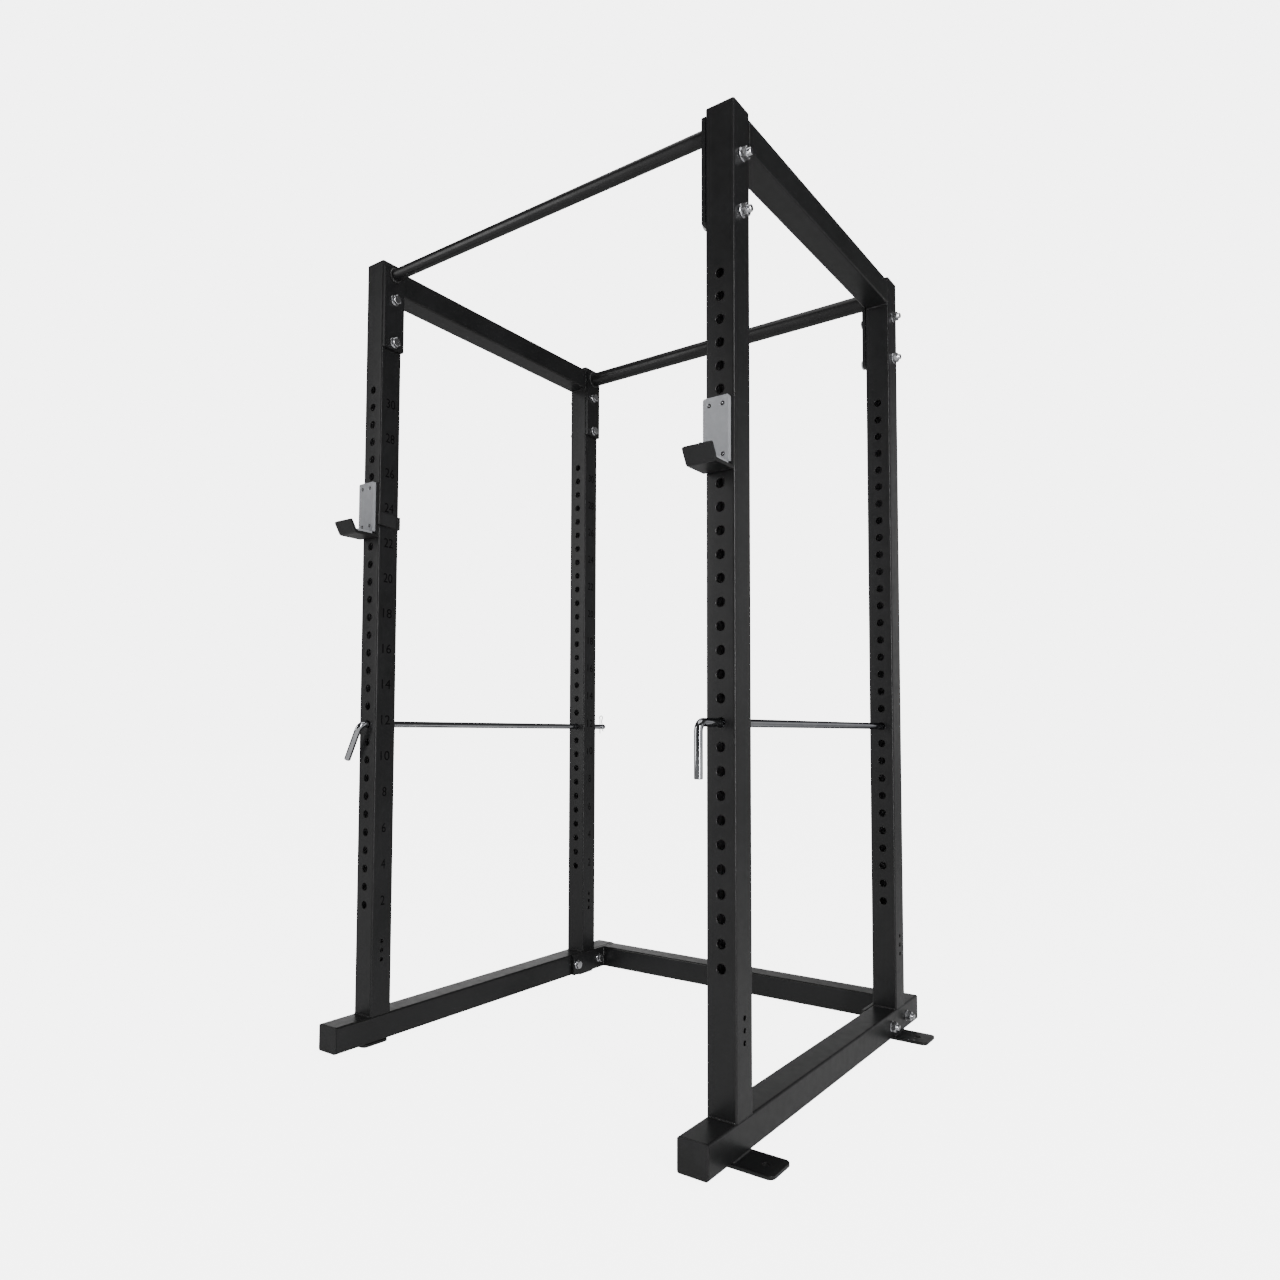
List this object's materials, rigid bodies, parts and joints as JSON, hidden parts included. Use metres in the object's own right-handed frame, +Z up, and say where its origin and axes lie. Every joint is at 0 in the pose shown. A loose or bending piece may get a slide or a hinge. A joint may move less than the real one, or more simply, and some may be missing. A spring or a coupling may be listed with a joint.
{
  "type": "power cage",
  "caption": "Free-standing square-tube power cage with perforated uprights, bolted pull-up bars and rear crossmember, sliding safety rods with spring clips and swing-out J-hooks",
  "frame": {"origin": "on the floor, at the middle of the footprint", "axes": "+X to the right seen from the front, +Y to the rear, +Z up"},
  "size_m": [1.376, 1.226, 2.2],
  "materials": {
    "powder_coat": "fine-textured satin black powder coat",
    "zinc_fastener": "bright zinc plate",
    "chrome": "polished chrome",
    "cap_plastic": "matte black moulded plastic",
    "liner_plastic": "smooth grey plastic"
  },
  "bodies": {
    "frame": {"left_base_runner": "powder_coat", "right_base_runner": "powder_coat", "left_top_rail": "powder_coat", "right_top_rail": "powder_coat", "left_front_upright": "powder_coat", "left_rear_upright": "powder_coat", "right_front_upright": "powder_coat", "right_rear_upright": "powder_coat", "left_front_anchor_tab": "powder_coat", "left_rear_anchor_tab": "powder_coat", "right_front_anchor_tab": "powder_coat", "right_rear_anchor_tab": "powder_coat", "left_front_upright_cap": "cap_plastic", "left_rear_upright_cap": "cap_plastic", "right_front_upright_cap": "cap_plastic", "right_rear_upright_cap": "cap_plastic", "left_front_runner_cap": "cap_plastic", "left_rear_runner_cap": "cap_plastic", "right_front_runner_cap": "cap_plastic", "right_rear_runner_cap": "cap_plastic", "front_pull_up_bar": "powder_coat", "rear_pull_up_bar": "powder_coat", "front_bar_left_plate": "powder_coat", "front_bar_right_plate": "powder_coat", "rear_bar_left_plate": "powder_coat", "rear_bar_right_plate": "powder_coat", "front_bar_left_lower_bolt": "zinc_fastener", "front_bar_left_upper_bolt": "zinc_fastener", "front_bar_right_lower_bolt": "zinc_fastener", "front_bar_right_upper_bolt": "zinc_fastener", "rear_bar_left_lower_bolt": "zinc_fastener", "rear_bar_left_upper_bolt": "zinc_fastener", "rear_bar_right_lower_bolt": "zinc_fastener", "rear_bar_right_upper_bolt": "zinc_fastener", "rear_crossmember": "powder_coat", "crossmember_left_plate": "powder_coat", "crossmember_right_plate": "powder_coat", "crossmember_left_front_bolt": "zinc_fastener", "crossmember_left_rear_bolt": "zinc_fastener", "crossmember_right_front_bolt": "zinc_fastener", "crossmember_right_rear_bolt": "zinc_fastener"},
    "left_rod": {"left_safety_rod": "chrome"},
    "right_rod": {"right_safety_rod": "chrome"},
    "left_clip": {"left_rod_clip": "chrome"},
    "right_clip": {"right_rod_clip": "chrome"},
    "left_hook": {"left_hook_plate": "powder_coat", "left_hook_strap": "powder_coat", "left_hook_pin": "zinc_fastener", "left_hook_liner": "liner_plastic", "left_hook_pad": "liner_plastic"},
    "right_hook": {"right_hook_plate": "powder_coat", "right_hook_strap": "powder_coat", "right_hook_pin": "zinc_fastener", "right_hook_liner": "liner_plastic", "right_hook_pad": "liner_plastic"}
  },
  "joints": [
    {"name": "left_rod_slide", "type": "slide", "parent": "frame", "child": "left_rod", "axis": [0, -1, 0], "range_m": [0, 0.063]},
    {"name": "right_rod_slide", "type": "slide", "parent": "frame", "child": "right_rod", "axis": [0, 1, 0], "range_m": [0, 0.063]},
    {"name": "left_clip_slide", "type": "slide", "parent": "left_rod", "child": "left_clip", "axis": [0, 0, 1], "range_m": [0, 0.04]},
    {"name": "right_clip_slide", "type": "slide", "parent": "right_rod", "child": "right_clip", "axis": [0, 0, 1], "range_m": [0, 0.04]},
    {"name": "left_hook_swing", "type": "hinge", "parent": "frame", "child": "left_hook", "pos_m": [-0.565, -0.5, 1.528], "axis": [0, -1, 0], "range_deg": [0, 90]},
    {"name": "right_hook_swing", "type": "hinge", "parent": "frame", "child": "right_hook", "pos_m": [0.565, -0.5, 1.528], "axis": [0, 1, 0], "range_deg": [0, 90]}
  ]
}
